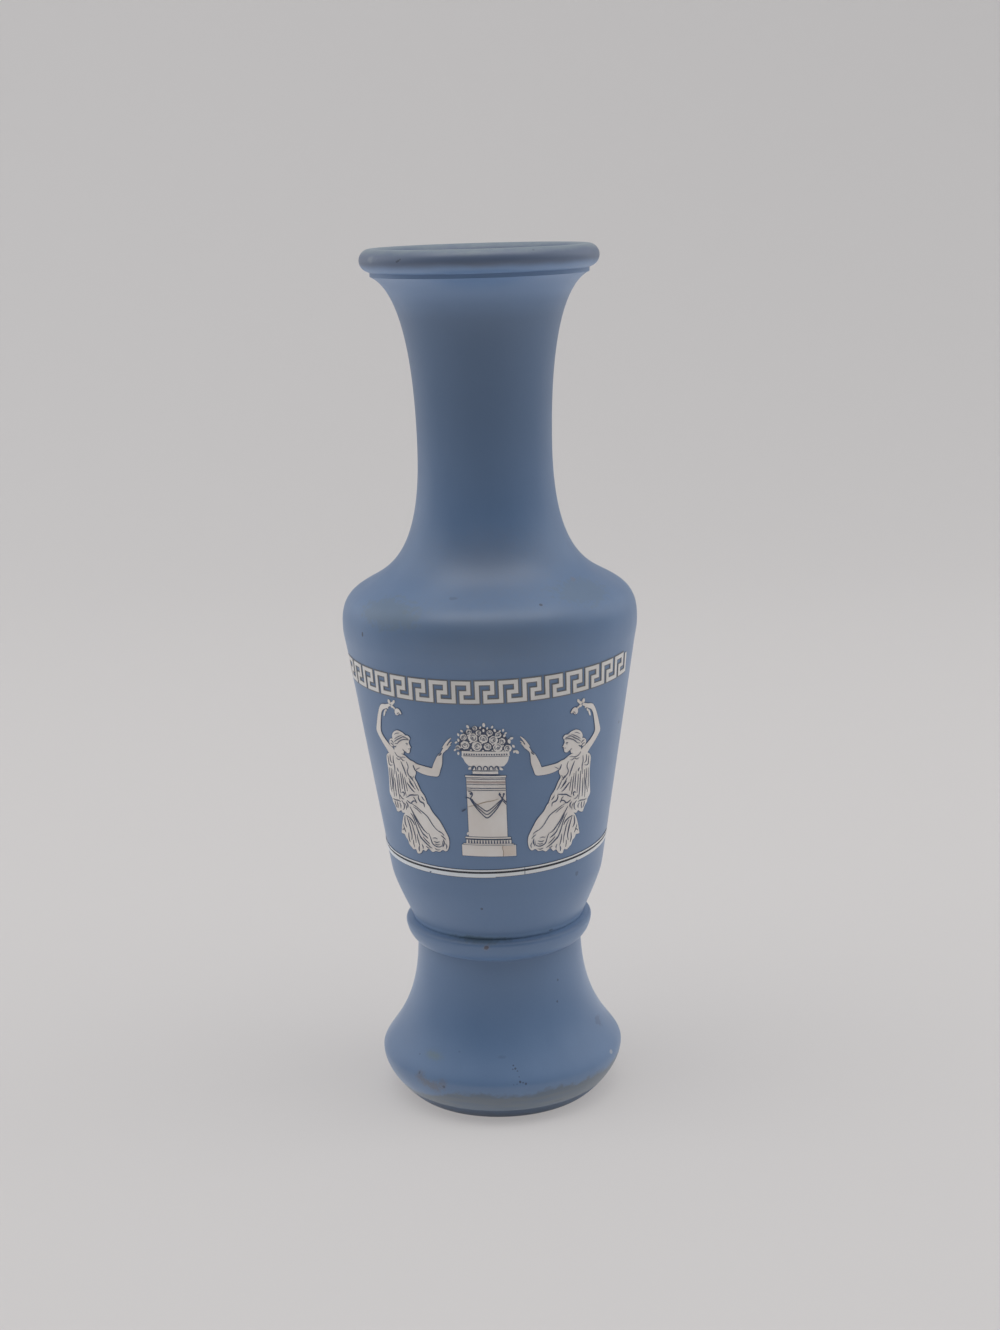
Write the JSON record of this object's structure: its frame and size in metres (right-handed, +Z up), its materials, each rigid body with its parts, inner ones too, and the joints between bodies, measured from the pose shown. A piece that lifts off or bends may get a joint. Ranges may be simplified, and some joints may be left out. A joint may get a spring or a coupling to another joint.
{
  "type": "bud vase",
  "caption": "Tall footed bud vase: tapered body with a high shoulder, slender flared neck, rolled lip and a collar bead above a flared foot, with a classical frieze printed on the front.",
  "frame": {"origin": "centre of the foot's flat contact ring, on the plane that the vase stands on", "axes": "+Z up along the vase's axis to the lip; the printed frieze faces -Y; +X to the right of someone who looks at the frieze"},
  "size_m": [0.0684, 0.0684, 0.2],
  "materials": {
    "sprayed_glass": "satin blue coat sprayed on moulded glass",
    "print": "matte cream transfer enamel with dark grey-blue drawing"
  },
  "bodies": {
    "root": {"glass_body": "sprayed_glass", "print_key_band": "print", "print_figure_left": "print", "print_figure_right": "print", "print_pedestal": "print", "print_flower_bowl": "print", "print_ground_line_upper": "print", "print_ground_line_lower": "print"}
  },
  "joints": []
}
